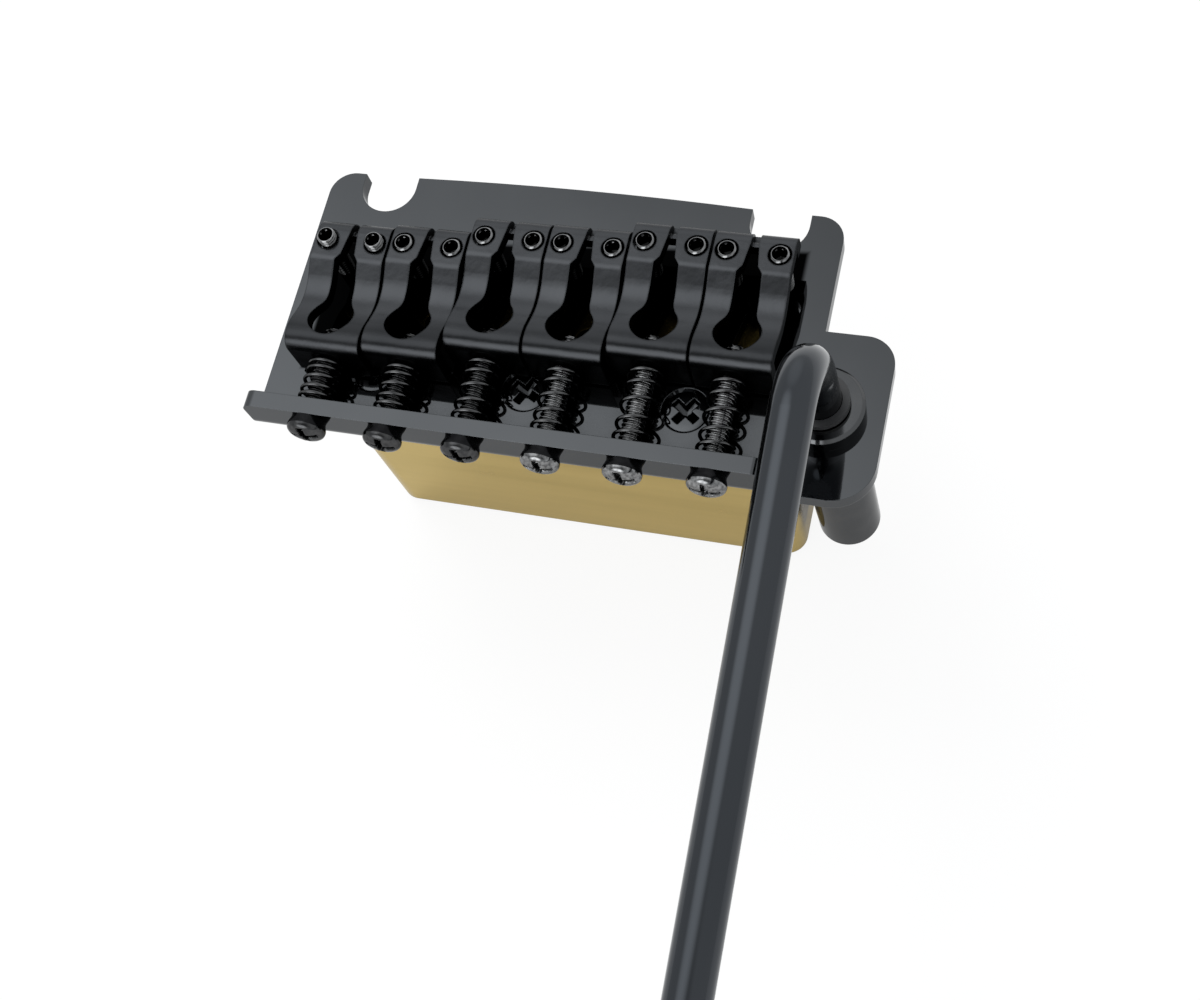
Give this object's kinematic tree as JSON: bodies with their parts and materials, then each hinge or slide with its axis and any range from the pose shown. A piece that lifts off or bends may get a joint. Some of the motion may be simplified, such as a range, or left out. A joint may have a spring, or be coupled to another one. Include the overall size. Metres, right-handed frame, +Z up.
{
  "type": "guitar tremolo bridge",
  "caption": "Black tremolo bridge for an electric guitar: bent steel plate on pivot notches, bent saddles on springs and screws, brass block below and a push-in arm.",
  "frame": {"origin": "midway between the two pivot posts, on the plate's top face", "axes": "+X across the strings to the treble side, +Y along the strings to the neck, +Z up out of the guitar"},
  "size_m": [0.0829, 0.1746, 0.0625],
  "materials": {
    "gloss_black": "gloss",
    "satin_black": "satin",
    "black_screws": "gloss",
    "black_socket": "satin",
    "black_arm": "gloss",
    "spring_black": "gloss",
    "brass": "satin",
    "bush_plastic": "matte",
    "tip_plastic": "gloss"
  },
  "bodies": {
    "bridge": {"base_plate": "gloss_black", "sustain_block": "brass", "block_screws": "black_screws", "arm_socket": "black_socket", "intonation_spring_1": "spring_black", "intonation_spring_2": "spring_black", "intonation_spring_3": "spring_black", "intonation_spring_4": "spring_black", "intonation_spring_5": "spring_black", "intonation_spring_6": "spring_black"},
    "arm_bush": {"arm_bush": "bush_plastic"},
    "arm": {"tremolo_arm": "black_arm", "arm_tip": "tip_plastic"},
    "intonation_screw_1": {"intonation_screw_1": "black_screws"},
    "height_screws_1": {"height_screws_1": "black_screws"},
    "saddle_1": {"saddle_1": "satin_black"},
    "intonation_screw_2": {"intonation_screw_2": "black_screws"},
    "height_screws_2": {"height_screws_2": "black_screws"},
    "saddle_2": {"saddle_2": "satin_black"},
    "intonation_screw_3": {"intonation_screw_3": "black_screws"},
    "height_screws_3": {"height_screws_3": "black_screws"},
    "saddle_3": {"saddle_3": "satin_black"},
    "intonation_screw_4": {"intonation_screw_4": "black_screws"},
    "height_screws_4": {"height_screws_4": "black_screws"},
    "saddle_4": {"saddle_4": "satin_black"},
    "intonation_screw_5": {"intonation_screw_5": "black_screws"},
    "height_screws_5": {"height_screws_5": "black_screws"},
    "saddle_5": {"saddle_5": "satin_black"},
    "intonation_screw_6": {"intonation_screw_6": "black_screws"},
    "height_screws_6": {"height_screws_6": "black_screws"},
    "saddle_6": {"saddle_6": "satin_black"}
  },
  "joints": [
    {"name": "arm_swing", "type": "hinge", "parent": "bridge", "child": "arm_bush", "pos_m": [0.03842, -0.02633, 0], "axis": [-0.0471, 0, 0.9989], "range_deg": [-45, 180]},
    {"name": "arm_pull", "type": "slide", "parent": "arm_bush", "child": "arm", "axis": [-0.0471, 0, 0.9989], "range_m": [0, 0.018]},
    {"name": "intonation_turn_1", "type": "hinge", "parent": "bridge", "child": "intonation_screw_1", "pos_m": [-0.0275, -0.03805, 0.003], "axis": [0, 1, 0], "range_deg": [-1200, 1200]},
    {"name": "saddle_travel_1", "type": "slide", "parent": "bridge", "child": "height_screws_1", "axis": [0, 1, 0], "range_m": [-0.002, 0.002], "deforming": ["intonation_spring_1"]},
    {"name": "saddle_tilt_1", "type": "hinge", "parent": "height_screws_1", "child": "saddle_1", "pos_m": [-0.0275, -0.02867, 0.003], "axis": [1, 0, 0], "range_deg": [-2, 2.5]},
    {"name": "intonation_turn_2", "type": "hinge", "parent": "bridge", "child": "intonation_screw_2", "pos_m": [-0.0167, -0.03805, 0.003], "axis": [0, 1, 0], "range_deg": [-1200, 1200]},
    {"name": "saddle_travel_2", "type": "slide", "parent": "bridge", "child": "height_screws_2", "axis": [0, 1, 0], "range_m": [-0.002, 0.002], "deforming": ["intonation_spring_2"]},
    {"name": "saddle_tilt_2", "type": "hinge", "parent": "height_screws_2", "child": "saddle_2", "pos_m": [-0.0167, -0.0281, 0.003], "axis": [1, 0, 0], "range_deg": [-2, 2.5]},
    {"name": "intonation_turn_3", "type": "hinge", "parent": "bridge", "child": "intonation_screw_3", "pos_m": [-0.0059, -0.03805, 0.003], "axis": [0, 1, 0], "range_deg": [-1200, 1200]},
    {"name": "saddle_travel_3", "type": "slide", "parent": "bridge", "child": "height_screws_3", "axis": [0, 1, 0], "range_m": [-0.002, 0.002], "deforming": ["intonation_spring_3"]},
    {"name": "saddle_tilt_3", "type": "hinge", "parent": "height_screws_3", "child": "saddle_3", "pos_m": [-0.0059, -0.02582, 0.003], "axis": [1, 0, 0], "range_deg": [-2, 2.5]},
    {"name": "intonation_turn_4", "type": "hinge", "parent": "bridge", "child": "intonation_screw_4", "pos_m": [0.0049, -0.03805, 0.003], "axis": [0, 1, 0], "range_deg": [-1200, 1200]},
    {"name": "saddle_travel_4", "type": "slide", "parent": "bridge", "child": "height_screws_4", "axis": [0, 1, 0], "range_m": [-0.002, 0.002], "deforming": ["intonation_spring_4"]},
    {"name": "saddle_tilt_4", "type": "hinge", "parent": "height_screws_4", "child": "saddle_4", "pos_m": [0.0049, -0.02568, 0.003], "axis": [1, 0, 0], "range_deg": [-2, 2.5]},
    {"name": "intonation_turn_5", "type": "hinge", "parent": "bridge", "child": "intonation_screw_5", "pos_m": [0.0157, -0.03805, 0.003], "axis": [0, 1, 0], "range_deg": [-1200, 1200]},
    {"name": "saddle_travel_5", "type": "slide", "parent": "bridge", "child": "height_screws_5", "axis": [0, 1, 0], "range_m": [-0.002, 0.002], "deforming": ["intonation_spring_5"]},
    {"name": "saddle_tilt_5", "type": "hinge", "parent": "height_screws_5", "child": "saddle_5", "pos_m": [0.0157, -0.02415, 0.003], "axis": [1, 0, 0], "range_deg": [-2, 2.5]},
    {"name": "intonation_turn_6", "type": "hinge", "parent": "bridge", "child": "intonation_screw_6", "pos_m": [0.0265, -0.03805, 0.003], "axis": [0, 1, 0], "range_deg": [-1200, 1200]},
    {"name": "saddle_travel_6", "type": "slide", "parent": "bridge", "child": "height_screws_6", "axis": [0, 1, 0], "range_m": [-0.002, 0.002], "deforming": ["intonation_spring_6"]},
    {"name": "saddle_tilt_6", "type": "hinge", "parent": "height_screws_6", "child": "saddle_6", "pos_m": [0.0265, -0.02423, 0.003], "axis": [1, 0, 0], "range_deg": [-2, 2.5]}
  ],
  "couplings": [
    {"joint": "intonation_turn_1", "follows": "saddle_travel_1", "rad_per_m": -10472},
    {"joint": "intonation_turn_2", "follows": "saddle_travel_2", "rad_per_m": -10472},
    {"joint": "intonation_turn_3", "follows": "saddle_travel_3", "rad_per_m": -10472},
    {"joint": "intonation_turn_4", "follows": "saddle_travel_4", "rad_per_m": -10472},
    {"joint": "intonation_turn_5", "follows": "saddle_travel_5", "rad_per_m": -10472},
    {"joint": "intonation_turn_6", "follows": "saddle_travel_6", "rad_per_m": -10472}
  ]
}
